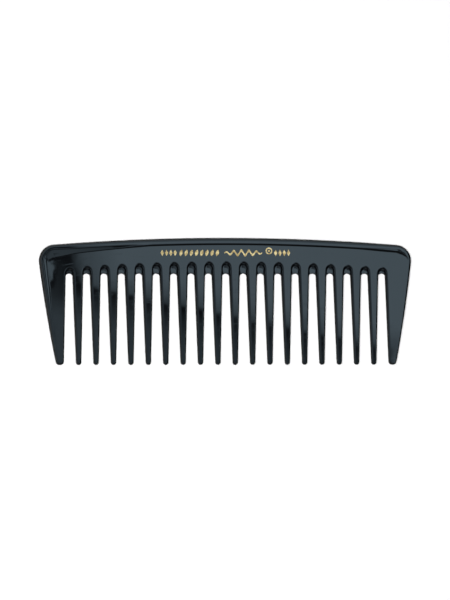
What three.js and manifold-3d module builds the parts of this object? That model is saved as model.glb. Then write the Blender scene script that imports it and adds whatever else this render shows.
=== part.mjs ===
// A wide-tooth dressing comb of polished hard rubber, lying flat with its marked face up.
//
// Units are millimetres. +X runs along the comb, +Y from the tooth tips to the back, and +Z up through
// its thickness. The origin is the middle of the comb's outline, on the surface that it lies on.
//
// The comb is sawn from one moulded blank, so body, teeth and back bead are one solid. Its only other
// pieces are the gilt foil marks pressed on the flat panel between the bead and the teeth.

import * as THREE from "three";
import { mergeVertices } from "three/addons/utils/BufferGeometryUtils.js";
import Module from "manifold-3d";

const wasm = await Module();
wasm.setup();

// Outline, measured in the middle plane where the comb is widest.
const LENGTH = 165;
const HEIGHT = 55.3;
const BACK_RADIUS = 960; // the back is a very slight arc
const CORNER_RADIUS = 7;
const SIDE_LEAN_TOP = THREE.MathUtils.degToRad(7); // each end leans in below its corner
const SIDE_LEAN_TIP = THREE.MathUtils.degToRad(11.3);

// Thickness.
const BEAD_THICKNESS = 5;
const BLADE_THICKNESS = 4.3;
const TIP_THICKNESS = 2.7;
const MID_WALL = 0.3; // upright strip in the middle plane, between the two rounded flanks

// Teeth: widths are those of the flat face, and each flank stands EDGE_ROUND proud of it.
const INNER_TEETH = 18;
const PITCH = 7.7;
const FACE_WIDTH_ROOT = 3.75;
const FACE_WIDTH_TIP = 1.15;
const EDGE_ROUND = 0.58;
const ROOT_Y = 11; // where the teeth begin to taper in thickness
const ROOT_OVERLAP = 1;
const END_TIP_RADIUS = 0.95;

// Root of each gap: an arch in the face, and a thin web that reaches further down between the teeth.
const ARCH_BELOW_BACK = 10.2;
const ARCH_RISE = 2.3;
const WEB_EDGE_Y = 12.5;
const WEB_THICKNESS = 1.2;
const WEB_ROUND = 0.3;
const WEB_HALF_GAP = 1.42;
const WEB_HALF_WIDTH = 2.4;

// Back bead: a rounded rib with a narrow flat land, which runs round both corners and fades out.
const BEAD_ROUND = 1.2;
const BEAD_LAND = 1;
const BEAD_END_Y = 13;
const BEAD_FADE_FROM_X = 62;
const BEAD_END_THICKNESS = 4.4;

// Gilt foil marks, in one row on the upper panel.
const FOIL_THICKNESS = 0.06;
const MARK_Y = 21;
const MARK_HEIGHT = 2.8;
const LOZENGE_WIDTH = 1.5;
const LEFT_LOZENGES = { count: 4, fromX: -28.4, toX: -22.7 };
const RIGHT_LOZENGES = { count: 4, fromX: 21.9, toX: 27.6 };
const LEAF_WIDTH = 1.35;
const LEAF_SLANT = 0.8;
const LEAVES = { count: 8, fromX: -20.1, toX: -4 };
const SCROLL_X = 7.5;
const SCROLL_LENGTH = 16.8;
const SCROLL_WAVES = 5;
const SCROLL_SWING = 1.05;
const SCROLL_STROKE = 1.15;
const SCROLL_END_STROKE = 0.35; // as a share of the stroke in the middle
const ROUNDEL_X = 18.9;
const ROUNDEL_RAISED = 0.9; // above the rest of the row
const ROUNDEL_RADIUS = 1.5;
const ROUNDEL_STROKE = 0.5;
const ROUNDEL_DOT_RADIUS = 0.5;

// Smoothness of the curved stretches, in segments.
const BACK_SEGMENTS = 12;
const CORNER_SEGMENTS = 6;
const SIDE_SEGMENTS = 4;
const ARCH_SEGMENTS = 6;
const TIP_SEGMENTS = 4;
const FLANK_SEGMENTS = 2;
const BEAD_SEGMENTS = 3;
const SCROLL_SEGMENTS_PER_WAVE = 12;
const ROUNDEL_SEGMENTS = 20;

const MID_Z = BEAD_THICKNESS / 2;
const TOP_Y = HEIGHT / 2;
const TIP_Y = -HEIGHT / 2;
const PANEL_TOP_Z = MID_Z + BLADE_THICKNESS / 2;
const BACK_CENTRE_Y = TOP_Y - BACK_RADIUS;
const CORNER_X = LENGTH / 2 - CORNER_RADIUS;
const CORNER_Y = BACK_CENTRE_Y + Math.sqrt((BACK_RADIUS - CORNER_RADIUS) ** 2 - CORNER_X ** 2);
const END_TOOTH_X = (INNER_TEETH / 2 + 0.5) * PITCH;

const hardRubber = new THREE.MeshStandardMaterial({ color: 0x0c0d10, roughness: 0.12, metalness: 0 });
const giltFoil = new THREE.MeshStandardMaterial({ color: 0xc9a961, roughness: 0.35, metalness: 1 });

const point = (x, y) => new THREE.Vector2(x, y);
const mirrored = (points) => points.map((p) => point(-p.x, p.y)).reverse();
const arc = (x, y, radius, from, to, segments) =>
  new THREE.EllipseCurve(x, y, radius, radius, from, to, to < from).getPoints(segments);

// The back's height at x, in the middle plane.
const backY = (x) => BACK_CENTRE_Y + Math.sqrt(BACK_RADIUS ** 2 - x ** 2);

// Half the width of a tooth's flat face at height y.
function faceHalfWidth(y) {
  const springY = TOP_Y - ARCH_BELOW_BACK - ARCH_RISE;
  const share = (springY - y) / (springY - TIP_Y);
  return THREE.MathUtils.lerp(FACE_WIDTH_ROOT, FACE_WIDTH_TIP, share) / 2;
}

// ---- From three.js geometry to solids and back ----

function toSolid(geometry) {
  geometry.deleteAttribute("normal");
  geometry.deleteAttribute("uv");
  const merged = mergeVertices(geometry, 1e-4);
  return new wasm.Manifold(
    new wasm.Mesh({
      numProp: 3,
      vertProperties: merged.attributes.position.array,
      triVerts: new Uint32Array(merged.index.array),
    }),
  );
}

function toGeometry(solid) {
  const { vertProperties, triVerts } = solid.getMesh();
  const geometry = new THREE.BufferGeometry();
  geometry.setAttribute("position", new THREE.BufferAttribute(vertProperties, 3));
  geometry.setIndex(new THREE.BufferAttribute(triVerts, 1));
  return geometry;
}

// A plate centred on the middle plane: its faces have this outline, and its rounded edge stands
// `round` proud of it. `scaleAt(x, y)` thins the plate from place to place.
function roundedPlate(outline, thickness, round, segments, scaleAt = () => 1) {
  const geometry = new THREE.ExtrudeGeometry(new THREE.Shape(outline), {
    depth: MID_WALL,
    bevelThickness: (thickness - MID_WALL) / 2,
    bevelSize: round,
    bevelSegments: segments,
  });
  geometry.translate(0, 0, -MID_WALL / 2);
  const position = geometry.attributes.position;
  for (let i = 0; i < position.count; i++) {
    position.setZ(i, position.getZ(i) * scaleAt(position.getX(i), position.getY(i)));
  }
  geometry.translate(0, 0, MID_Z);
  return toSolid(geometry);
}

// ---- The comb's outline ----

// The corner and the leaning end on the +X side, from the end's foot up to the back, set in by `inset`.
function rightEnd(inset, footY) {
  const radius = CORNER_RADIUS - inset;
  const cornerToBack = Math.acos(CORNER_X / (BACK_RADIUS - CORNER_RADIUS));
  const corner = arc(CORNER_X, CORNER_Y, radius, -SIDE_LEAN_TOP, cornerToBack, CORNER_SEGMENTS);
  const side = sideCurve(inset).getPoints(SIDE_SEGMENTS).filter((p) => p.y > footY);
  const foot = pointAtHeight(sideCurve(inset), footY);
  return [foot, ...side.slice(0, -1), ...corner];
}

// One end of the comb from its tip (t = 0) to its corner (t = 1).
function sideCurve(inset) {
  const top = point(
    CORNER_X + (CORNER_RADIUS - inset) * Math.cos(SIDE_LEAN_TOP),
    CORNER_Y - (CORNER_RADIUS - inset) * Math.sin(SIDE_LEAN_TOP),
  );
  const drop = top.y - TIP_Y;
  const meanLean = (Math.tan(SIDE_LEAN_TOP) + Math.tan(SIDE_LEAN_TIP)) / 2;
  const tip = point(top.x - drop * meanLean, TIP_Y);
  const middle = point(top.x - (drop / 2) * Math.tan(SIDE_LEAN_TOP), (top.y + TIP_Y) / 2);
  return new THREE.QuadraticBezierCurve(tip, middle, top);
}

// The curve is spaced evenly in height, so a height gives its place directly.
function pointAtHeight(curve, y) {
  return curve.getPoint((y - curve.v0.y) / (curve.v2.y - curve.v0.y));
}

function backArc(inset) {
  const half = Math.asin(CORNER_X / (BACK_RADIUS - CORNER_RADIUS));
  const [from, to] = [Math.PI / 2 - half, Math.PI / 2 + half];
  return arc(0, BACK_CENTRE_Y, BACK_RADIUS - inset, from, to, BACK_SEGMENTS).slice(1, -1);
}

// Foot of the +X end, over the back, to the foot of the -X end.
function overTheBack(inset, footY) {
  const right = rightEnd(inset, footY);
  return [...right, ...backArc(inset), ...mirrored(right)];
}

// ---- The comb's own regions, joined into one solid ----

const gapCentres = Array.from({ length: INNER_TEETH + 1 }, (_, i) => (i - INNER_TEETH / 2) * PITCH);
const archTopY = (x) => backY(x) - ARCH_BELOW_BACK;

// The panel below the bead, with the tops of the gaps arched into its lower edge.
function panel() {
  const lowerEdge = gapCentres.flatMap((x) => {
    const springY = archTopY(x) - ARCH_RISE;
    const halfGap = PITCH / 2 - faceHalfWidth(springY);
    const footHalfGap = PITCH / 2 - faceHalfWidth(ROOT_Y);
    const arch = new THREE.EllipseCurve(x, springY, halfGap, ARCH_RISE, Math.PI, 0, true);
    return [point(x - footHalfGap, ROOT_Y), ...arch.getPoints(ARCH_SEGMENTS), point(x + footHalfGap, ROOT_Y)];
  });
  const outline = [...overTheBack(EDGE_ROUND, ROOT_Y), ...lowerEdge];
  return roundedPlate(outline, BLADE_THICKNESS, EDGE_ROUND, FLANK_SEGMENTS);
}

// Teeth thin evenly from their upper ends to their tips.
const toothTopY = ROOT_Y + ROOT_OVERLAP;
const taper = (x, y) =>
  THREE.MathUtils.mapLinear(y, toothTopY, TIP_Y, 1, TIP_THICKNESS / BLADE_THICKNESS);

function innerTooth(x) {
  const tipRadius = FACE_WIDTH_TIP / 2;
  const tipCentreY = TIP_Y + EDGE_ROUND + tipRadius;
  const topHalf = faceHalfWidth(toothTopY);
  const outline = [
    point(x + topHalf, toothTopY),
    point(x - topHalf, toothTopY),
    ...arc(x, tipCentreY, tipRadius, Math.PI, 2 * Math.PI, TIP_SEGMENTS),
  ];
  return roundedPlate(outline, BLADE_THICKNESS, EDGE_ROUND, FLANK_SEGMENTS, taper);
}

// The broad tooth at the +X end: its inner flank is a tooth's, and its outer edge is the comb's end.
function endToothOutline() {
  const side = sideCurve(EDGE_ROUND);
  const radius = END_TIP_RADIUS;
  const tipCentreY = TIP_Y + EDGE_ROUND + radius;
  const innerX = END_TOOTH_X - faceHalfWidth(tipCentreY) + radius;
  const outerX = pointAtHeight(side, tipCentreY).x - radius;
  return [
    pointAtHeight(side, toothTopY),
    point(END_TOOTH_X - faceHalfWidth(toothTopY), toothTopY),
    ...arc(innerX, tipCentreY, radius, Math.PI, 1.5 * Math.PI, TIP_SEGMENTS / 2),
    ...arc(outerX, tipCentreY, radius, 1.5 * Math.PI, 2 * Math.PI, TIP_SEGMENTS / 2),
    ...side.getPoints(SIDE_SEGMENTS).filter((p) => p.y > tipCentreY && p.y < toothTopY),
  ];
}

function endTeeth() {
  const right = endToothOutline();
  return [right, mirrored(right)].map((outline) =>
    roundedPlate(outline, BLADE_THICKNESS, EDGE_ROUND, FLANK_SEGMENTS, taper),
  );
}

// The thin web across the root of one gap, with a concave arch for its free edge.
function web(x) {
  const springY = WEB_EDGE_Y - WEB_HALF_GAP;
  const reach = WEB_HALF_GAP + WEB_ROUND;
  const topY = archTopY(x) + ROOT_OVERLAP;
  const outline = [
    point(x + WEB_HALF_WIDTH, topY),
    point(x - WEB_HALF_WIDTH, topY),
    point(x - WEB_HALF_WIDTH, springY + WEB_ROUND),
    ...arc(x, springY + WEB_ROUND, reach, Math.PI, 0, ARCH_SEGMENTS),
    point(x + WEB_HALF_WIDTH, springY + WEB_ROUND),
  ];
  return roundedPlate(outline, WEB_THICKNESS, WEB_ROUND, 1);
}

// The bead along the back: thickest over the middle, and fading where it turns the corners.
function bead() {
  const outer = overTheBack(BEAD_ROUND, BEAD_END_Y);
  const inner = overTheBack(BEAD_ROUND + BEAD_LAND, BEAD_END_Y + BEAD_LAND).reverse();
  const fade = (x) => {
    const share = THREE.MathUtils.smoothstep(Math.abs(x), BEAD_FADE_FROM_X, LENGTH / 2);
    return 1 - share * (1 - BEAD_END_THICKNESS / BEAD_THICKNESS);
  };
  return roundedPlate([...outer, ...inner], BEAD_THICKNESS, BEAD_ROUND, BEAD_SEGMENTS, fade);
}

function combBody() {
  const innerCentres = gapCentres.slice(0, -1).map((x) => x + PITCH / 2);
  const regions = [bead(), ...gapCentres.map(web), ...innerCentres.map(innerTooth), ...endTeeth()];
  return toGeometry(regions.reduce((whole, region) => whole.add(region), panel()));
}

// ---- Gilt foil marks ----

const foilOf = (shape) =>
  new THREE.ExtrudeGeometry(shape, {
    depth: FOIL_THICKNESS,
    bevelEnabled: false,
    curveSegments: ROUNDEL_SEGMENTS / 2,
  });

function lozenge() {
  const [halfWidth, halfHeight] = [LOZENGE_WIDTH / 2, MARK_HEIGHT / 2];
  const corners = [point(halfWidth, 0), point(0, halfHeight), point(-halfWidth, 0), point(0, -halfHeight)];
  return foilOf(new THREE.Shape(corners));
}

// A pointed leaf that leans to the right.
function leaf() {
  const tip = point(LEAF_SLANT / 2, MARK_HEIGHT / 2);
  const shape = new THREE.Shape();
  shape.moveTo(-tip.x, -tip.y);
  shape.quadraticCurveTo(LEAF_WIDTH, -LEAF_SLANT / 2, tip.x, tip.y);
  shape.quadraticCurveTo(-LEAF_WIDTH, LEAF_SLANT / 2, -tip.x, -tip.y);
  return foilOf(shape);
}

// A running wave whose swing and stroke both die away towards its ends.
function scroll() {
  const segments = SCROLL_WAVES * SCROLL_SEGMENTS_PER_WAVE;
  const edge = (side) =>
    Array.from({ length: segments + 1 }, (_, i) => {
      const share = i / segments;
      const swell = Math.sqrt(Math.sin(Math.PI * share));
      const swing = SCROLL_SWING * swell * Math.sin(share * SCROLL_WAVES * 2 * Math.PI);
      const stroke = SCROLL_STROKE * THREE.MathUtils.lerp(SCROLL_END_STROKE, 1, swell);
      return point((share - 0.5) * SCROLL_LENGTH, swing + (side * stroke) / 2);
    });
  return foilOf(new THREE.Shape([...edge(-1), ...edge(1).reverse()]));
}

const disc = (radius) => new THREE.Shape().absarc(0, 0, radius, 0, 2 * Math.PI, false);

function ring() {
  const shape = disc(ROUNDEL_RADIUS);
  shape.holes.push(disc(ROUNDEL_RADIUS - ROUNDEL_STROKE));
  return foilOf(shape);
}

// ---- Assembly ----

const comb = new THREE.Group();

const body = new THREE.Mesh(combBody(), hardRubber);
body.name = "comb_body";
comb.add(body);

const marks = new THREE.Group();
marks.position.set(0, MARK_Y, PANEL_TOP_Z);
comb.add(marks);

function addMark(name, geometry, x, y = 0) {
  const mark = new THREE.Mesh(geometry, giltFoil);
  mark.name = name;
  mark.position.set(x, y, 0);
  marks.add(mark);
}

// Equal marks, evenly spaced between two x positions.
function addRun(name, make, { count, fromX, toX }) {
  for (let i = 0; i < count; i++) {
    addMark(`${name}_${i + 1}`, make(), THREE.MathUtils.lerp(fromX, toX, i / (count - 1)));
  }
}

addRun("gilt_left_lozenge", lozenge, LEFT_LOZENGES);
addRun("gilt_leaf", leaf, LEAVES);
addMark("gilt_scroll", scroll(), SCROLL_X);
addMark("gilt_roundel_ring", ring(), ROUNDEL_X, ROUNDEL_RAISED);
addMark("gilt_roundel_dot", foilOf(disc(ROUNDEL_DOT_RADIUS)), ROUNDEL_X, ROUNDEL_RAISED);
addRun("gilt_right_lozenge", lozenge, RIGHT_LOZENGES);

export default comb;
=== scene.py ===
"""A wide-tooth dressing comb of polished hard rubber, lying on a pale floor with its marked face up.

The shape functions work in millimetres in the CAD frame, with +X along the comb, +Y from the tooth tips
to the back and +Z up, and MM turns their results into the scene's metres. Heights in a cross-section are
measured from the comb's middle plane, because both faces are alike.
"""
import math

import bmesh
import bpy
import numpy as np
from mathutils import Matrix, Vector
from mathutils.geometry import delaunay_2d_cdt


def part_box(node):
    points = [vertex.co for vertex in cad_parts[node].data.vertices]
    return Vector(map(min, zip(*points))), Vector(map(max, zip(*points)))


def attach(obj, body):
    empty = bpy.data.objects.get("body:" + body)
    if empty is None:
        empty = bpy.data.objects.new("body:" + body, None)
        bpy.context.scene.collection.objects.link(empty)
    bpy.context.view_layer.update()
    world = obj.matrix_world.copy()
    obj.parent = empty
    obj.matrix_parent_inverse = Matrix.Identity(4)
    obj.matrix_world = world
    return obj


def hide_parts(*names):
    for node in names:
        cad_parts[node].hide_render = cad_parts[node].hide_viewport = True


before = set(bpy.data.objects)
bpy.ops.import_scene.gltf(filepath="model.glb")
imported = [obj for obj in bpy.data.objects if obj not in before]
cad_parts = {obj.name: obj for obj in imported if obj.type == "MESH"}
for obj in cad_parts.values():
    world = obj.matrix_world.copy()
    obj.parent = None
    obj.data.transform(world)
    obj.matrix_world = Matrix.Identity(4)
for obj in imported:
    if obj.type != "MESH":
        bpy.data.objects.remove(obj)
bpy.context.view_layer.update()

MM = 0.001

# ---- The comb's dimensions ----

body_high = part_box("comb_body")[1] / MM
MID_Z = body_high.z / 2
TOP_Y = body_high.y
TIP_Y = -TOP_Y
PANEL_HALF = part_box("gilt_scroll")[0].z / MM - MID_Z  # half the panel's thickness, up to the foil
TIP_HALF = 1.35  # half the thickness at the teeth's tips

BACK_RADIUS = 960
CORNER_RADIUS = 7
SIDE_LEAN_TOP = math.radians(7)
SIDE_LEAN_TIP = math.radians(11.3)
BACK_CENTRE_Y = TOP_Y - BACK_RADIUS
CORNER_X = body_high.x - CORNER_RADIUS
CORNER_Y = BACK_CENTRE_Y + math.sqrt((BACK_RADIUS - CORNER_RADIUS) ** 2 - CORNER_X**2)

# A tooth has a flat face, and a rounded flank that stands out on each side of it.
INNER_TEETH = 18
PITCH = 7.7
END_TOOTH_X = (INNER_TEETH + 1) / 2 * PITCH
FACE_WIDTH_ROOT = 2.95
FACE_WIDTH_TIP = 0.7
FLANK_ROUND_ROOT = 0.93
FLANK_ROUND_TIP = 0.75
END_TIP_RADIUS = 1.53

# The panel ends in an arch above each gap, and a thinner web reaches down from the arch.
ARCH_BELOW_BACK = 10.2
ARCH_RISE = 3.0
ARCH_WALL = 1.3  # how wide the rounded wall between the panel and the web is, at the arch's top
SPRING_Y = TOP_Y - ARCH_BELOW_BACK - ARCH_RISE
WEB_EDGE_Y = 12.1
WEB_RISE = 1.42
WEB_HALF = 0.6
WEB_ROUND = 0.18  # how far the web's rounded free edge reaches in
WEB_FILLET = 0.4
ROOT_BLEND = 1.3  # where there is less room than this for the web, it thins out into the flanks

TAPER_Y = 12  # the teeth taper in thickness from here down
TAPER_BLEND = 3.5  # the taper sets in gently, from this far above TAPER_Y to this far below
TAPER = (PANEL_HALF - TIP_HALF) / (TAPER_Y - TIP_Y)

# The rim is a round edge, a flat land, a crease that goes down, a wedge that takes the width that is
# left, and a step down to the flat face. "total" is its whole width, and "round", "land", "crease" and
# "step" are widths within it. "drop" is the land's height above the face, and the crease and the wedge
# go down by their shares of it.
#
# Each row is (distance along the outline past the start of a corner, value). A negative distance is
# along the back, and a corner ends at about 11.
LEFT_RIM = {
    "total": (
        (-42, 3.2), (-21, 4.1), (-9, 4.7), (-2, 5.6), (2, 5.9), (7.5, 5), (11, 3.4),
        (23, 3), (31, 2.2), (41, 1.7), (56, 0.8),
    ),
    "round": ((-42, 1.6), (-5, 1.4), (11, 1.15), (25, 1.1), (41, 0.85), (56, 0.6)),
    "land": ((-42, 0.8), (-9, 0.85), (2, 0.6), (11, 0.3), (41, 0.1), (56, 0)),
    "step": ((-42, 0.8), (-25, 0.5), (0, 0.4), (6, 0.3), (11, 0.2), (14, 0.12), (56, 0.1)),
    "crease": ((-42, 0), (-25, 0.35), (23, 0.4), (41, 0.3), (56, 0)),
    "drop": ((0, 0.35), (11, 0.3), (41, 0.15), (56, 0)),
    "crease_share": ((-42, 0), (-30, 0.3), (-2, 0.3), (2, 0.33), (5.5, 0.5), (8, 0.7), (11, 0.9), (56, 0.92)),
    "wedge_share": ((-42, 0), (-30, 0.35), (-2, 0.35), (2, 0.33), (5.5, 0.22), (8, 0.12), (11, 0), (56, 0)),
}
RIGHT_RIM = {
    "total": (
        (-16, 3.2), (-3, 3.6), (3, 3.7), (6.3, 3), (8, 2.3), (10, 1.55), (12, 1.35),
        (23, 1.25), (41, 1), (56, 0.75),
    ),
    "round": ((-16, 1.6), (-3, 1.3), (9, 1.1), (23, 1), (41, 0.8), (56, 0.6)),
    "land": ((-16, 0.8), (0, 0.4), (8, 0.35), (12, 0.15), (56, 0.05)),
    "step": ((-16, 0.8), (-3, 1.7), (2, 2.1), (6, 1.4), (8, 0.8), (10, 0.25), (12, 0.1), (56, 0.1)),
    "crease": ((0, 0), (56, 0)),
    "drop": ((2, 0.35), (6.3, 0.24), (8.5, 0.08), (10, 0)),
    "crease_share": ((0, 0), (56, 0)),
    "wedge_share": ((0, 0), (56, 0)),
}

SOLVE_STEPS = 5  # rounds of substitution that settle a tip's radius or place


def back_y(x):
    """The back's height at x, in the middle plane."""
    return BACK_CENTRE_Y + math.sqrt(BACK_RADIUS**2 - x**2)


def face_half_width(y):
    """Half the width of a tooth's flat face at height y."""
    share = (SPRING_Y - y) / (SPRING_Y - TIP_Y)
    return (FACE_WIDTH_ROOT + share * (FACE_WIDTH_TIP - FACE_WIDTH_ROOT)) / 2


def flank_round(y):
    """How far a tooth's flank stands out from its flat face, in the middle plane."""
    share = (SPRING_Y - y) / (SPRING_Y - TIP_Y)
    return FLANK_ROUND_ROOT + share * (FLANK_ROUND_TIP - FLANK_ROUND_ROOT)


def half_gap(y):
    """Half the width between two teeth's flat faces at height y."""
    return PITCH / 2 - face_half_width(y)


def face_height(y):
    """Height of the flat face above the middle plane: level on the panel, then down along the teeth."""
    below = TAPER_Y + TAPER_BLEND - y
    if below <= 0:
        return PANEL_HALF
    if below < 2 * TAPER_BLEND:
        return PANEL_HALF - TAPER * below**2 / (4 * TAPER_BLEND)
    return PANEL_HALF - TAPER * (below - TAPER_BLEND)


def smooth(share):
    """An S-curve from 0 to 1."""
    share = min(max(share, 0.0), 1.0)
    return share * share * (3 - 2 * share)


# ---- The outline, as a closed loop of stations ----
#
# A station is one cross-section of the comb's edge. It runs from the outline in the middle plane
# ("edge") to where the edge meets the flat face ("face"), and says how wide each stretch is, and
# the heights and shares that go with them.

STRETCHES = ("lip", "fillet", "round", "land", "crease", "step")
OTHERS = ("web_half", "fillet_rise", "drop", "crease_share", "wedge_share")


def station(edge, face, **sizes):
    """One station, with 0 for each size that isn't given."""
    made = {name: sizes.get(name, 0.0) for name in STRETCHES + OTHERS}
    made.update(edge=Vector(edge), face=Vector(face))
    return made


def along(rows, distance):
    """A value between its (distance, value) rows."""
    return float(np.interp(distance, *zip(*rows)))


def rim_station(x, y, angle, distance, side):
    """A station on the back, a corner or an end. The angle is the outward normal's, from +Y."""
    rim = RIGHT_RIM if side > 0 else LEFT_RIM
    sizes = {name: along(rows, distance) for name, rows in rim.items()}
    total = sizes.pop("total")
    face = (side * (x - total * math.sin(angle)), y - total * math.cos(angle))
    return station((side * x, y), face, **sizes)


def side_point(share):
    """A point of the +X end, and its outward normal's angle from +Y: share 0 at the tip, 1 at the corner."""
    top = Vector((math.cos(SIDE_LEAN_TOP), -math.sin(SIDE_LEAN_TOP))) * CORNER_RADIUS
    top += Vector((CORNER_X, CORNER_Y))
    drop = top.y - TIP_Y
    tip_x = top.x - drop * (math.tan(SIDE_LEAN_TOP) + math.tan(SIDE_LEAN_TIP)) / 2
    middle_x = top.x - drop / 2 * math.tan(SIDE_LEAN_TOP)
    x = (1 - share) ** 2 * tip_x + 2 * share * (1 - share) * middle_x + share**2 * top.x
    slope = 2 * (1 - share) * (middle_x - tip_x) + 2 * share * (top.x - middle_x)
    return x, TIP_Y + share * drop, math.pi / 2 + math.atan2(slope, drop)


def end_tip_share():
    """The share of the +X end, as in side_point, at which its tooth's rounded tip starts."""
    share = 0.0
    for _ in range(SOLVE_STEPS):
        angle = side_point(share)[2]
        share = END_TIP_RADIUS * (1 + math.cos(angle)) / (side_point(1)[1] - TIP_Y)
    return share


BACK_STATIONS = 60
CORNER_STATIONS = 26
SIDE_STATIONS = 40


def rim_stations(side):
    """Stations from the middle of the back, round one corner and down that end to its tooth's tip."""
    turn = math.asin(CORNER_X / (BACK_RADIUS - CORNER_RADIUS))
    made = []
    for angle in np.linspace(0, turn, BACK_STATIONS, endpoint=False):
        x, y = BACK_RADIUS * math.sin(angle), BACK_CENTRE_Y + BACK_RADIUS * math.cos(angle)
        made.append(rim_station(x, y, angle, -BACK_RADIUS * (turn - angle), side))
    corner_end = math.pi / 2 + SIDE_LEAN_TOP
    for angle in np.linspace(turn, corner_end, CORNER_STATIONS, endpoint=False):
        x, y = CORNER_X + CORNER_RADIUS * math.sin(angle), CORNER_Y + CORNER_RADIUS * math.cos(angle)
        made.append(rim_station(x, y, angle, CORNER_RADIUS * (angle - turn), side))
    for share in np.linspace(1, end_tip_share(), SIDE_STATIONS, endpoint=False):
        x, y, angle = side_point(share)
        distance = CORNER_RADIUS * (corner_end - turn) + (side_point(1)[1] - y)
        made.append(rim_station(x, y, angle, distance, side))
    return made


FLANK_LEAN = math.atan((FACE_WIDTH_ROOT - FACE_WIDTH_TIP) / 2 / (SPRING_Y - TIP_Y))
FLANK_NORMAL = 1.5 * math.pi - FLANK_LEAN  # the angle of a flank's outward normal, from +Y
TIP_STATIONS = 12


def tip_arc(centre, radius, start, stop, rounding, side=1):
    """Stations round part of a tooth's tip. Angles are the outward normal's, from +Y towards side."""
    made = []
    for angle in np.linspace(start, stop, TIP_STATIONS):
        out = Vector((side * math.sin(angle), math.cos(angle)))
        made.append(station(centre + radius * out, centre + (radius - rounding) * out, round=rounding))
    return made


def inner_tip(x):
    """The tip of an inner tooth, from its left flank to its right one."""
    radius = FACE_WIDTH_TIP / 2 + FLANK_ROUND_TIP
    for _ in range(SOLVE_STEPS):
        radius = (face_half_width(TIP_Y + radius) + FLANK_ROUND_TIP) / math.cos(FLANK_LEAN)
    other_normal = math.pi - (FLANK_NORMAL - math.pi)
    return tip_arc(Vector((x, TIP_Y + radius)), radius, FLANK_NORMAL, other_normal, FLANK_ROUND_TIP)


def end_tip(side):
    """The tip of an end tooth, from the comb's end to the tooth's inner flank."""
    radius = END_TIP_RADIUS
    x, _, angle = side_point(end_tip_share())
    centre_y = TIP_Y + radius
    outer = Vector((side * (x - radius * math.sin(angle)), centre_y))
    flank_x = END_TOOTH_X - face_half_width(centre_y) - FLANK_ROUND_TIP
    inner = Vector((side * (flank_x + radius), centre_y))
    rounding = (RIGHT_RIM if side > 0 else LEFT_RIM)["total"][-1][1]
    made = tip_arc(outer, radius, angle, math.pi, rounding, side)
    return made + tip_arc(inner, radius, math.pi, FLANK_NORMAL, FLANK_ROUND_TIP, side)


FLANK_ROWS = 12
TAPER_ROWS = 3
ARCH_STATIONS = 12
ROOT_FLANK_STATIONS = 7
WEB_SPRING_Y = WEB_EDGE_Y - WEB_RISE
ROWS_TOP_Y = TAPER_Y - TAPER_BLEND  # above here the rows are closer
TIP_GAP = 0.4  # from the rounded tip's last station to the flank's first
LEAST_SLANT = 0.3  # a slanted section's widths are never stretched past one over this


def flank(x, side):
    """One wall of the gap at x below its root, from the tip upwards."""
    lowest = TIP_Y + END_TIP_RADIUS + TIP_GAP
    rows = [
        *np.linspace(lowest, ROWS_TOP_Y, FLANK_ROWS),
        *np.linspace(ROWS_TOP_Y, WEB_SPRING_Y, TAPER_ROWS + 2)[1:-1],
    ]
    made = []
    for y in rows:
        rounding = flank_round(y)
        edge = (x + side * (half_gap(y) - rounding), y)
        made.append(station(edge, (x + side * half_gap(y), y), round=rounding))
    return made


def root(x):
    """The root of the gap at x, from its left wall over the arch to its right wall."""
    spring_y = back_y(x) - ARCH_BELOW_BACK - ARCH_RISE
    rows = np.linspace(WEB_SPRING_Y, spring_y, ROOT_FLANK_STATIONS, endpoint=False)
    left = [(Vector((-half_gap(y), y)), Vector((-1, 0))) for y in rows]
    reach = half_gap(spring_y)
    for angle in np.linspace(math.pi, math.pi / 2, ARCH_STATIONS):
        face = Vector((reach * math.cos(angle), spring_y + ARCH_RISE * math.sin(angle)))
        left.append((face, Vector((math.cos(angle) / reach, math.sin(angle) / ARCH_RISE)).normalized()))
    flip = Vector((-1, 1))
    return [root_station(x, *pair) for pair in left + [(a * flip, b * flip) for a, b in left[-2::-1]]]


def root_station(x, face, normal):
    """A station from the web's free edge out to a point of the face's edge, given from the gap's middle."""
    flank_width = flank_round(WEB_SPRING_Y)
    web_half_gap = half_gap(WEB_SPRING_Y) - flank_width
    bearing = math.atan2(face.y - WEB_SPRING_Y, face.x)
    reach = 1 / math.hypot(math.cos(bearing) / web_half_gap, math.sin(bearing) / WEB_RISE)
    edge = Vector((reach * math.cos(bearing), WEB_SPRING_Y + reach * math.sin(bearing)))
    line = face - edge
    stretch = line.length / max(line.dot(normal), LEAST_SLANT * line.length)
    share = smooth((line.length - flank_width) / ROOT_BLEND)
    wall = flank_width + (ARCH_WALL - flank_width) * max(normal.y, 0) ** 2
    shift = Vector((x, 0))
    return station(
        edge + shift,
        face + shift,
        web_half=share * WEB_HALF,
        lip=share * WEB_ROUND,
        fillet=share * WEB_FILLET * stretch,
        fillet_rise=share * WEB_FILLET,
        round=wall * stretch,
    )


def gap(x):
    """Both walls and the root of the gap at x."""
    return flank(x, -1) + root(x) + flank(x, 1)[::-1]


def outline():
    """Every station, anticlockwise seen from above, from the middle of the back."""
    made = rim_stations(-1) + end_tip(-1)
    for i in range(INNER_TEETH + 1):
        x = (i - INNER_TEETH / 2) * PITCH
        made += gap(x)
        if i < INNER_TEETH:
            made += inner_tip(x + PITCH / 2)
    return made + end_tip(1)[::-1] + rim_stations(1)[:0:-1]


# ---- The mesh ----

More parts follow.
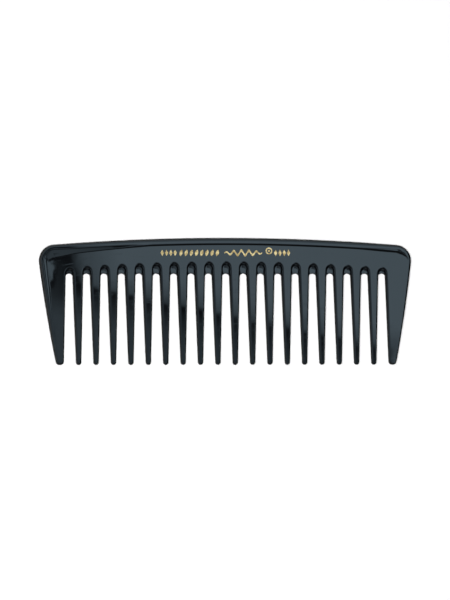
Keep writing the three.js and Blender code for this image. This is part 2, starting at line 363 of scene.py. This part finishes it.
LIP_STEPS = 4
WEB_ROWS = (0.05, 0.5, 1.0)  # shares of the web's width: one close to its edge keeps the web flat
FILLET_STEPS = 4
ROUND_STEPS = 10
LAND_STEPS = 2
CREASE_STEPS = 4
WEDGE_STEPS = 2
WEDGE_BLEND = 0.6  # where a wedge is narrower than this, it and its crease are shallower too
STEP_STEPS = 6
SUPPORT = 0.06  # a last row this far inside the face keeps the flat face flat
MERGE = 1e-4
FILL_INSIDE = 1  # the triangulation's output type: the inside of the ring
FILL_TOLERANCE = 1e-6


def quarter(steps):
    """Angles that divide a quarter turn into equal steps, without the first."""
    return [math.pi / 2 * i / steps for i in range(1, steps + 1)]


def shares(steps):
    """Shares that divide a width into equal steps, without the first."""
    return [i / steps for i in range(1, steps + 1)]


def round_angles(width, height):
    """Parameters of a quarter ellipse whose normals turn by equal steps."""
    made = []
    for turned in quarter(ROUND_STEPS):
        made.append(math.atan2(height * math.sin(turned), width * math.cos(turned)))
    return made


def cross_section(s):
    """(distance in from the outline, height above the middle plane) of each row of a station."""
    total = (s["face"] - s["edge"]).length
    flat_height = face_height(s["face"].y)
    top = flat_height + s["drop"]
    taken = sum(s[name] for name in STRETCHES)
    spare = max(total - taken, 0.0)
    web, wedge = (spare, 0.0) if s["web_half"] > 0 else (0.0, spare)
    squeeze = min(1.0, total / taken)
    widths = {name: s[name] * squeeze for name in STRETCHES}
    rows = [(0.0, 0.0)]

    at, height = 0.0, s["web_half"]
    rows += [(widths["lip"] * (1 - math.cos(t)), height * math.sin(t)) for t in quarter(LIP_STEPS)]
    at += widths["lip"]
    rows += [(at + web * share, height) for share in WEB_ROWS]
    at += web
    curve, rise = widths["fillet"], s["fillet_rise"]
    rows += [(at + curve * math.sin(t), height + rise * (1 - math.cos(t))) for t in quarter(FILLET_STEPS)]

    at, height = at + curve, height + rise
    wall, rise = widths["round"], top - height
    rows += [(at + wall * (1 - math.cos(t)), height + rise * math.sin(t)) for t in round_angles(wall, rise)]

    at += wall
    rows += [(at + widths["land"] * share, top) for share in shares(LAND_STEPS)]
    at += widths["land"]
    wedged = smooth(wedge / WEDGE_BLEND)
    fall = s["drop"] * s["crease_share"] * wedged
    rows += [(at + widths["crease"] * share, top - fall * smooth(share)) for share in shares(CREASE_STEPS)]

    at, height = at + widths["crease"], top - fall
    fall = s["drop"] * s["wedge_share"] * wedged
    rows += [(at + wedge * share, height - fall * share) for share in shares(WEDGE_STEPS)]

    at, height = at + wedge, height - fall
    fall = height - flat_height
    for share, t in zip(shares(STEP_STEPS), quarter(STEP_STEPS)):
        rows.append((at + widths["step"] * share, height - fall * (1 - math.cos(t))))
    return rows


def edge_rows(stations):
    """The rows of every station's cross-section as an array: station, row, (x, y, height)."""
    made = []
    for s in stations:
        inward = (s["face"] - s["edge"]).normalized()
        rows = []
        for inset, height in cross_section(s):
            place = s["edge"] + inward * inset
            rows.append((place.x, place.y, height))
        place = s["face"] + inward * SUPPORT
        rows.append((place.x, place.y, face_height(place.y)))
        made.append(rows)
    return np.array(made)


def face_triangles(ring):
    """Triangles that fill the flat face inside its ring of (x, y) points."""
    count = len(ring)
    points = [Vector(p) for p in ring]
    ring_edges = [(i, (i + 1) % count) for i in range(count)]
    _, _, faces, originals, _, _ = delaunay_2d_cdt(
        points, ring_edges, [list(range(count))], FILL_INSIDE, FILL_TOLERANCE
    )
    index = [found[0] for found in originals]
    return [tuple(index[i] for i in f) for f in faces]


def body_mesh():
    """The body's vertices in metres, and its faces. The lower half mirrors the upper one."""
    rows = edge_rows(outline())
    stations, depth, _ = rows.shape
    lower = rows[:, 1:].copy()
    lower[:, :, 2] *= -1
    vertices = np.concatenate([rows.reshape(-1, 3), lower.reshape(-1, 3)])
    vertices[:, 2] += MID_Z

    def top(i, j):
        return (i % stations) * depth + j

    def bottom(i, j):
        return top(i, 0) if j == 0 else stations * depth + (i % stations) * (depth - 1) + j - 1

    faces = []
    for i in range(stations):
        for j in range(depth - 1):
            faces.append((top(i, j), top(i + 1, j), top(i + 1, j + 1), top(i, j + 1)))
            faces.append((bottom(i, j + 1), bottom(i + 1, j + 1), bottom(i + 1, j), bottom(i, j)))
    last = depth - 1
    for a, b, c in face_triangles(rows[:, -1, :2]):
        faces.append((top(a, last), top(b, last), top(c, last)))
        faces.append((bottom(c, last), bottom(b, last), bottom(a, last)))
    return vertices * MM, faces


def tidy_mesh(mesh):
    """Merges the rows that a station doesn't use, and makes every face smooth and point outwards."""
    work = bmesh.new()
    work.from_mesh(mesh)
    bmesh.ops.remove_doubles(work, verts=work.verts, dist=MERGE * MM)
    bmesh.ops.dissolve_degenerate(work, edges=work.edges, dist=MERGE * MM)
    bmesh.ops.recalc_face_normals(work, faces=work.faces)
    for face in work.faces:
        face.smooth = True
    work.to_mesh(mesh)
    work.free()


def make_body(material):
    """The polished body, which stands for the CAD one."""
    vertices, faces = body_mesh()
    mesh = bpy.data.meshes.new("comb_body_polished")
    mesh.from_pydata(vertices.tolist(), [], faces)
    tidy_mesh(mesh)
    mesh.materials.append(material)
    body = bpy.data.objects.new("comb_body_polished", mesh)
    bpy.context.scene.collection.objects.link(body)
    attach(body, "root")
    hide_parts("comb_body")


def gild_marks(material):
    """Gives every CAD mark the foil's material."""
    for name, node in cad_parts.items():
        if name != "comb_body":
            node.data.materials.clear()
            node.data.materials.append(material)


# ---- Shader nodes ----


def node_material(name):
    """A new material, its nodes, its links and its Principled shader."""
    material = bpy.data.materials.new(name)
    material.use_nodes = True
    nodes = material.node_tree.nodes
    return material, nodes, material.node_tree.links, nodes["Principled BSDF"]


def add(nodes, kind, **settings):
    """A new node, with its properties and inputs set by name."""
    node = nodes.new(kind)
    for key, value in settings.items():
        if hasattr(node, key):
            setattr(node, key, value)
        else:
            node.inputs[key].default_value = value
    return node


def ramp(nodes, stops):
    """A colour ramp through (position, grey or colour) stops."""
    node = nodes.new("ShaderNodeValToRGB")
    elements = node.color_ramp.elements
    while len(elements) < len(stops):
        elements.new(0.5)  # any position will do, because the next loop sets it
    for element, (position, value) in zip(elements, stops):
        element.position = position
        element.color = (value, value, value, 1) if isinstance(value, (int, float)) else (*value, 1)
    return node


def ramped(nodes, links, value, stops):
    """A value sent through a colour ramp."""
    made = ramp(nodes, stops)
    links.new(value, made.inputs["Fac"])
    return made.outputs["Color"]


def combined(nodes, links, operation, *values):
    """A Math node's result, from numbers and sockets."""
    made = add(nodes, "ShaderNodeMath", operation=operation)
    for socket, value in zip(made.inputs, values):
        if isinstance(value, (int, float)):
            socket.default_value = value
        else:
            links.new(value, socket)
    return made.outputs[0]


def mapped(nodes, links, value, low, high, to_low=0.0, to_high=1.0):
    """A value moved from one range to another, and kept inside the second."""
    made = add(nodes, "ShaderNodeMapRange")
    for name, number in (("From Min", low), ("From Max", high), ("To Min", to_low), ("To Max", to_high)):
        made.inputs[name].default_value = number
    links.new(value, made.inputs["Value"])
    return made.outputs[0]


def shifted_dot(nodes, links, place, origin, direction):
    """How far a place is from the origin along a direction, times the direction's length."""
    offset = add(nodes, "ShaderNodeVectorMath", operation="SUBTRACT")
    offset.inputs[1].default_value = origin
    links.new(place, offset.inputs[0])
    made = add(nodes, "ShaderNodeVectorMath", operation="DOT_PRODUCT")
    made.inputs[1].default_value = direction
    links.new(offset.outputs[0], made.inputs[0])
    return made.outputs["Value"]


def noise(nodes, links, place, **settings):
    """A noise texture's grey value."""
    made = add(nodes, "ShaderNodeTexNoise", **settings)
    links.new(place, made.inputs["Vector"])
    return made.outputs["Fac"]


def bumped(nodes, links, height, **settings):
    """A Bump node that is driven by a height."""
    made = add(nodes, "ShaderNodeBump", **settings)
    links.new(height, made.inputs["Height"])
    return made


# ---- Materials ----
#
# Noise scales are per metre, and bump depths are in millimetres. Tints and roughnesses are stops over
# the noise's grey.

RUBBER_IOR = 1.6
CLOUDS = {"Scale": 70.0, "Detail": 4.0, "Roughness": 0.55}
CLOUD_TINTS = ((0.3, (0.0016, 0.0019, 0.0025)), (0.7, (0.0030, 0.0034, 0.0042)))
CLOUD_ROUGHNESS = ((0.35, 0.015), (0.7, 0.035))
WAVES = {"Scale": 180.0, "Detail": 1.0}
WAVE_DEPTH = 0.004
SCRATCHES = {"Scale": 1500.0, "Detail": 1.0}
SCRATCH_TURN = math.radians(8)
SCRATCH_STRETCH = (12, 1, 1)
SCRATCH_CRESTS = ((0.66, 0.0), (0.7, 1.0))
SCRATCH_ROUGHNESS = 0.08  # added to the clouds' roughness
SCRATCH_DEPTH = 0.001


def hard_rubber():
    """Polished hard rubber: cloudy smudges, hairline scratches along the comb and fine polishing waves."""
    material, nodes, links, shader = node_material("hard_rubber")
    shader.inputs["IOR"].default_value = RUBBER_IOR
    place = add(nodes, "ShaderNodeTexCoord").outputs["Object"]
    clouds = noise(nodes, links, place, **CLOUDS)
    links.new(ramped(nodes, links, clouds, CLOUD_TINTS), shader.inputs["Base Color"])
    gloss = ramped(nodes, links, clouds, CLOUD_ROUGHNESS)
    scratches = scratch_lines(nodes, links, place)
    dulled = combined(nodes, links, "MULTIPLY_ADD", scratches, SCRATCH_ROUGHNESS, gloss)
    links.new(dulled, shader.inputs["Roughness"])
    waves = noise(nodes, links, place, **WAVES)
    polish = bumped(nodes, links, waves, Strength=1.0, Distance=WAVE_DEPTH * MM)
    scored = bumped(nodes, links, scratches, Strength=1.0, Distance=SCRATCH_DEPTH * MM, invert=True)
    links.new(polish.outputs["Normal"], scored.inputs["Normal"])
    links.new(scored.outputs["Normal"], shader.inputs["Normal"])
    return material


def scratch_lines(nodes, links, place):
    """Sparse hairlines: the narrow crests of a noise that is stretched roughly along the comb."""
    stretched = add(nodes, "ShaderNodeMapping", vector_type="TEXTURE")
    stretched.inputs["Rotation"].default_value = (0, 0, SCRATCH_TURN)
    stretched.inputs["Scale"].default_value = SCRATCH_STRETCH
    links.new(place, stretched.inputs["Vector"])
    streaks = noise(nodes, links, stretched.outputs["Vector"], **SCRATCHES)
    return ramped(nodes, links, streaks, SCRATCH_CRESTS)


GRAIN = {"Scale": 900.0, "Detail": 5.0, "Roughness": 0.6}
GRAIN_TINTS = ((0.3, (0.5, 0.26, 0.08)), (0.6, (0.9, 0.57, 0.26)))
GRAIN_ROUGHNESS = ((0.35, 0.32), (0.65, 0.14))
GRAIN_STRENGTH = 0.35
GRAIN_DEPTH = 0.02


def gilt_foil():
    """Gilt foil with a fine grain. Its higher grains are brighter and glossier."""
    material, nodes, links, shader = node_material("gilt_foil")
    shader.inputs["Metallic"].default_value = 1.0
    place = add(nodes, "ShaderNodeTexCoord").outputs["Object"]
    grain = noise(nodes, links, place, **GRAIN)
    links.new(ramped(nodes, links, grain, GRAIN_TINTS), shader.inputs["Base Color"])
    links.new(ramped(nodes, links, grain, GRAIN_ROUGHNESS), shader.inputs["Roughness"])
    dents = bumped(nodes, links, grain, Strength=GRAIN_STRENGTH, Distance=GRAIN_DEPTH * MM)
    links.new(dents.outputs["Normal"], shader.inputs["Normal"])
    return material


# ---- Camera ----

CAMERA_DISTANCE = 5000 * MM
CAMERA_YAW = math.radians(11)  # towards -X
CAMERA_PITCH = math.radians(3.3)  # towards -Y
CAMERA_AIM = Vector((0.08, 0.75, 0)) * MM
SENSOR = 36
FRAME_WIDTH = 450
FRAME_HEIGHT = 600
FRAME_SPAN = 199 * MM  # what the frame's width shows of a level object
YAW_POWER = 0.8  # 1 would undo the yaw's foreshortening along the comb, and 0 would keep it all
SPAN_SHARE = math.cos(CAMERA_YAW) ** YAW_POWER


def make_camera():
    """A distant camera above the comb, a little towards its left end and its tips."""
    data = bpy.data.cameras.new("camera")
    data.sensor_width = SENSOR
    data.lens = SENSOR * CAMERA_DISTANCE / (FRAME_SPAN * SPAN_SHARE * FRAME_HEIGHT / FRAME_WIDTH)
    camera = bpy.data.objects.new("camera", data)
    bpy.context.scene.collection.objects.link(camera)
    back = Vector((-math.sin(CAMERA_YAW), -math.sin(CAMERA_PITCH), 0))
    back.z = math.sqrt(1 - back.length_squared)
    up = back.cross(Vector((1, 0, 0))).normalized()
    camera.matrix_world = placed(up.cross(back), up, back, CAMERA_AIM + back * CAMERA_DISTANCE)
    bpy.context.scene.camera = camera
    return camera


def placed(x_axis, y_axis, z_axis, place):
    """The matrix that puts an object's origin at a place, along three axes."""
    made = Matrix((x_axis, y_axis, z_axis)).transposed().to_4x4()
    made.translation = place
    return made


# ---- Studio ----

CEILING_HEIGHT = 0.6
SOFTBOX_COLOUR = (0.63, 0.85, 1.0)
SLOPE_STEP = 0.5  # mm on either side of a point, to measure the face's slope there


def seen_in_face(camera, x, y, height=CEILING_HEIGHT):
    """Where the camera sees the level plane at `height` mirrored in the comb's face, at (x, y) in mm."""
    slope = (face_height(y + SLOPE_STEP) - face_height(y - SLOPE_STEP)) / (2 * SLOPE_STEP)
    normal = Vector((0, -slope, 1)).normalized()
    point = Vector((x, y, MID_Z + face_height(y))) * MM
    view = (camera.matrix_world.translation - point).normalized()
    ray = 2 * normal.dot(view) * normal - view
    return point + ray * ((height - point.z) / ray.z)


def glowing(name, colour, strength):
    """An emission material and its glow node."""
    material = bpy.data.materials.new(name)
    material.use_nodes = True
    nodes = material.node_tree.nodes
    nodes.clear()
    glow = add(nodes, "ShaderNodeEmission", Color=(*colour, 1), Strength=strength)
    out = add(nodes, "ShaderNodeOutputMaterial")
    material.node_tree.links.new(glow.outputs[0], out.inputs["Surface"])
    return material, glow


def card(name, corners, material, matrix=None):
    """A flat card of light, seen only in reflections."""
    mesh = bpy.data.meshes.new(name)
    mesh.from_pydata([tuple(c) for c in corners], [], [tuple(range(len(corners)))])
    mesh.materials.append(material)
    made = bpy.data.objects.new(name, mesh)
    bpy.context.scene.collection.objects.link(made)
    if matrix is not None:
        made.matrix_world = matrix
    made.visible_camera = False
    made.visible_shadow = False
    made.visible_diffuse = False


def lit_card(name, strength, corners):
    """A card that glows evenly in the softbox's colour."""
    material, _ = glowing(name, SOFTBOX_COLOUR, strength)
    card(name, corners, material)


def rectangle(x_ends, y_ends):
    """The corners of a level rectangle, in order."""
    (x0, x1), (y0, y1) = x_ends, y_ends
    return [(x0, y0, 0), (x1, y0, 0), (x1, y1, 0), (x0, y1, 0)]


FLOOR_REACH = (-3.0, 3.0)
FLOOR_TONE = 0.9


def make_floor():
    """A pale, dull floor. The comb doesn't mirror it, and the world's band stands in for it."""
    mesh = bpy.data.meshes.new("floor")
    mesh.from_pydata(rectangle(FLOOR_REACH, FLOOR_REACH), [], [(0, 1, 2, 3)])
    material, _, _, shader = node_material("floor")
    shader.inputs["Base Color"].default_value = (FLOOR_TONE, FLOOR_TONE, FLOOR_TONE, 1)
    shader.inputs["Roughness"].default_value = 1.0
    shader.inputs["Specular IOR Level"].default_value = 0.0
    mesh.materials.append(material)
    floor = bpy.data.objects.new("floor", mesh)
    bpy.context.scene.collection.objects.link(floor)
    floor.visible_glossy = False


# Greys from straight down (0) through the horizon (0.5) to straight up (1).
WORLD_TONES = ((0.0, 0.01), (0.1, 0.03), (0.16, 0.4), (0.4, 0.4), (0.5, 0.05), (1.0, 0.03))
WORLD_DIM_FROM = 0.1  # the world dims between these two shares of the way towards +X
WORLD_DIM_TO = 0.6
WORLD_DIMMEST = 0.05


def make_world():
    """Dim surroundings, with a pale band below the horizon that stands for the floor in reflections."""
    world = bpy.data.worlds.new("studio")
    world.use_nodes = True
    nodes, links = world.node_tree.nodes, world.node_tree.links
    place = add(nodes, "ShaderNodeTexCoord")
    split = add(nodes, "ShaderNodeSeparateXYZ")
    links.new(place.outputs["Generated"], split.inputs[0])
    height = mapped(nodes, links, split.outputs["Z"], -1, 1)
    dimmed = mapped(nodes, links, split.outputs["X"], WORLD_DIM_FROM, WORLD_DIM_TO, 1, WORLD_DIMMEST)
    links.new(ramped(nodes, links, height, WORLD_TONES), nodes["Background"].inputs["Color"])
    links.new(dimmed, nodes["Background"].inputs["Strength"])
    bpy.context.scene.world = world


OVERHEAD_SIZE = 0.5
OVERHEAD_POWER = 31
OVERHEAD_DISTANCE = 1.6


def make_overhead(camera):
    """The light that whitens the floor, on the camera's line of sight. It isn't mirrored in the comb."""
    data = bpy.data.lights.new("overhead", "AREA")
    data.shape = "DISK"
    data.size = OVERHEAD_SIZE
    data.energy = OVERHEAD_POWER
    light = bpy.data.objects.new("overhead", data)
    towards = camera.matrix_world.translation.normalized()
    light.matrix_world = camera.matrix_world.copy()
    light.matrix_world.translation = towards * OVERHEAD_DISTANCE
    light.visible_glossy = False
    light.visible_camera = False
    bpy.context.scene.collection.objects.link(light)


# The ceiling is laid out by where it is mirrored in the face, as (x, y) in mm. The softbox lies above a
# straight lower edge and to the right of a slanted side, and it takes up all that is past its far end.
LOWER_EDGE_LEFT = (-65.5, 6.6)
LOWER_EDGE_RIGHT = (73.4, -22)
SIDE_TOP = (-68.5, 18)
FAR_END = (71.7, -22)
ROOM_TOP = (-75, 18.7)

SOFTBOX_STRENGTH = 1.5
SOFTBOX_TONES = ((0.0, 0.02), (0.05, 0.2), (0.17, 0.6), (0.8, 1.0))  # from its edge inwards
SOFTBOX_EDGE = 15 * MM
SIDE_SLOPE = 0.5  # the light rises this much as steeply from the slanted side as from the lower edge
SIDE_ROUNDING = 4 * MM
END_ROUNDING = 2 * MM
ROOM_EDGE = (-1 * MM, -16 * MM)  # the room brightens from the first depth in the softbox to the second
ROOM_TOP_EDGE = 7 * MM
ROOM_LEFT = 0.62  # the room's strength below the lower edge's left end
ROOM_RIGHT = 0.17
CEILING_X = (-0.4, 0.32)  # along the lower edge, from its left end
CEILING_Y = (-0.16, 0.3)


def make_ceiling(camera):
    """A softbox and, past a dark gap along its edge, the dimmer room that the teeth mirror."""
    left = seen_in_face(camera, *LOWER_EDGE_LEFT)
    right = seen_in_face(camera, *LOWER_EDGE_RIGHT)
    along_edge = (right - left).normalized()
    across = Vector((0, 0, 1)).cross(along_edge)
    matrix = placed(along_edge, across, Vector((0, 0, 1)), left)
    to_local = matrix.inverted()
    side_top = to_local @ seen_in_face(camera, *SIDE_TOP)
    far_end = to_local @ seen_in_face(camera, *FAR_END)
    room_top = to_local @ seen_in_face(camera, *ROOM_TOP)

    material, glow = glowing("ceiling", (1, 1, 1), SOFTBOX_STRENGTH)
    nodes, links = material.node_tree.nodes, material.node_tree.links
    place = add(nodes, "ShaderNodeTexCoord").outputs["Object"]
    split = add(nodes, "ShaderNodeSeparateXYZ")
    links.new(place, split.inputs[0])
    inside = softbox_depth(nodes, links, place, split.outputs["Y"], side_top, far_end)
    lit = ramped(nodes, links, mapped(nodes, links, inside, 0, SOFTBOX_EDGE), SOFTBOX_TONES)

    below_top = shifted_dot(nodes, links, place, room_top, to_local.to_3x3() @ Vector((0, -1, 0)))
    outside = mapped(nodes, links, inside, *ROOM_EDGE)
    room = combined(nodes, links, "MULTIPLY", outside, mapped(nodes, links, below_top, 0, ROOM_TOP_EDGE))
    tones = [tone / SOFTBOX_STRENGTH for tone in (ROOM_LEFT, ROOM_RIGHT)]
    fading = mapped(nodes, links, split.outputs["X"], 0, (right - left).length, *tones)
    room = combined(nodes, links, "MULTIPLY", room, fading)

    tinted = add(nodes, "ShaderNodeVectorMath", operation="SCALE")
    tinted.inputs[0].default_value = SOFTBOX_COLOUR
    links.new(combined(nodes, links, "ADD", lit, room), tinted.inputs["Scale"])
    links.new(tinted.outputs[0], glow.inputs["Color"])
    card("ceiling", rectangle(CEILING_X, CEILING_Y), material, matrix)


def softbox_depth(nodes, links, place, above_edge, side_top, far_end):
    """How far a place of the ceiling is inside the softbox, and negative outside it."""
    along_side = side_top.normalized()
    across_side = Vector((along_side.y, -along_side.x, 0)) * SIDE_SLOPE
    from_side = shifted_dot(nodes, links, place, Vector(), across_side)
    from_end = shifted_dot(nodes, links, place, far_end, Vector((1, 0, 0)))
    inside = combined(nodes, links, "SMOOTH_MIN", above_edge, from_side, SIDE_ROUNDING)
    return combined(nodes, links, "SMOOTH_MAX", inside, from_end, END_ROUNDING)


# The small window at the left and its dark frame, by where they are mirrored in the face. Each is
# (name, how far it hangs below the ceiling, strength, corners in mm on the face).
WINDOWS = (
    (
        "window", 2 * MM, 1.3,
        ((-81, 16.8), (-76.1, 16.8), (-76.3, 12.3), (-76.8, 9.7), (-77.7, 8), (-78.6, 10.3)),
    ),
    (
        "window_frame", 1 * MM, 0.02,
        ((-82, 18), (-74.8, 18), (-74.9, 12), (-75.5, 8.7), (-76.4, 6), (-79, 6), (-82, 10.5)),
    ),
)


def make_windows(camera):
    """The window and, just above it, its frame."""
    for name, drop, strength, places in WINDOWS:
        lit_card(name, strength, [seen_in_face(camera, x, y, CEILING_HEIGHT - drop) for x, y in places])


WALL_END = 1.0
BACK_WALL_FOOT = 0.4
BACK_WALL_HEAD = 0.33  # it leans over towards the comb
BACK_WALL_HEIGHT = 0.6
BACK_WALL_STRENGTH = 0.8
LEFT_STRIP_END = 0.8
LEFT_STRIP_X = -1.0
LEFT_STRIP_Z = (0.05, 0.45)
LEFT_STRIP_STRENGTH = 1.2
FRONT_STRIP_Y = -1.0
FRONT_STRIP_Z = (0.01, 0.17)
FRONT_STRIP_STRENGTH = 1.0


def make_walls():
    """A pale wall beyond the comb's back, and low strips of light beyond its left end and its tips."""
    lit_card("back_wall", BACK_WALL_STRENGTH, [
        (-WALL_END, BACK_WALL_FOOT, 0),
        (WALL_END, BACK_WALL_FOOT, 0),
        (WALL_END, BACK_WALL_HEAD, BACK_WALL_HEIGHT),
        (-WALL_END, BACK_WALL_HEAD, BACK_WALL_HEIGHT),
    ])
    strip = rectangle((-LEFT_STRIP_END, LEFT_STRIP_END), LEFT_STRIP_Z)
    lit_card("left_strip", LEFT_STRIP_STRENGTH, [(LEFT_STRIP_X, y, z) for y, z, _ in strip])
    strip = rectangle((-WALL_END, WALL_END), FRONT_STRIP_Z)
    lit_card("front_strip", FRONT_STRIP_STRENGTH, [(x, FRONT_STRIP_Y, z) for x, z, _ in strip])


def make_studio(camera):
    """The floor, the surroundings and the lights, placed by what the camera sees mirrored."""
    make_floor()
    make_world()
    make_overhead(camera)
    make_ceiling(camera)
    make_windows(camera)
    make_walls()
    bpy.context.scene.view_settings.view_transform = "Standard"


make_body(hard_rubber())
gild_marks(gilt_foil())
make_studio(make_camera())
